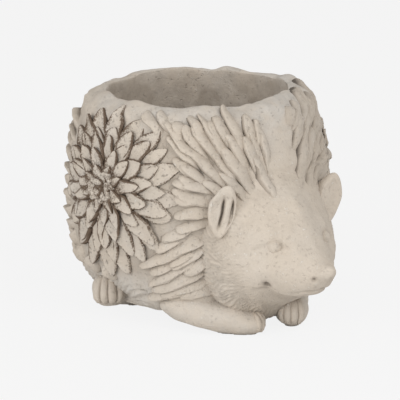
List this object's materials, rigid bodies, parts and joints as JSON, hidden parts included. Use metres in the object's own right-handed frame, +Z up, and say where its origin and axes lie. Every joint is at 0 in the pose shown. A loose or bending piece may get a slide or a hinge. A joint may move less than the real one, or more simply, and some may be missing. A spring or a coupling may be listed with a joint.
{
  "type": "animal shaped planter",
  "caption": "Hedgehog shaped cast cement planter: a round pot on paws with a head, quills, a flower relief on each flank and a lift-out drain plug.",
  "frame": {"origin": "middle of the planter's footprint, on the ground that its soles stand on", "axes": "+Z up, -Y the way the head looks, -X the animal's right flank"},
  "size_m": [0.176, 0.2149, 0.137],
  "materials": {
    "cement": "matte cast cement, warm grey-beige with whitish bloom",
    "washed_cement": "matte cast cement with a dark brown wash in the crevices",
    "rubber": "matte black rubber"
  },
  "bodies": {
    "pot": {"back_quills": "cement", "forehead_strip": "cement", "head": "cement", "left_brow_quills": "cement", "left_cheek_quills": "cement", "left_ear": "cement", "left_eye": "cement", "left_flower_heart": "washed_cement", "left_front_leg": "cement", "left_front_toes": "cement", "left_hind_foot": "cement", "left_hind_toes": "cement", "left_inner_petals": "washed_cement", "left_middle_petals": "washed_cement", "left_outer_petals": "washed_cement", "left_rump_quills": "cement", "nose": "cement", "pot_shell": "cement", "right_brow_quills": "cement", "right_cheek_quills": "cement", "right_ear": "cement", "right_eye": "cement", "right_flower_heart": "washed_cement", "right_front_leg": "cement", "right_front_toes": "cement", "right_hind_foot": "cement", "right_hind_toes": "cement", "right_inner_petals": "washed_cement", "right_middle_petals": "washed_cement", "right_outer_petals": "washed_cement", "right_rump_quills": "cement"},
    "plug": {"drain_plug": "rubber"}
  },
  "joints": [
    {"name": "plug_lift", "type": "slide", "parent": "pot", "child": "plug", "axis": [0, 0, 1], "range_m": [0, 0.14]}
  ]
}
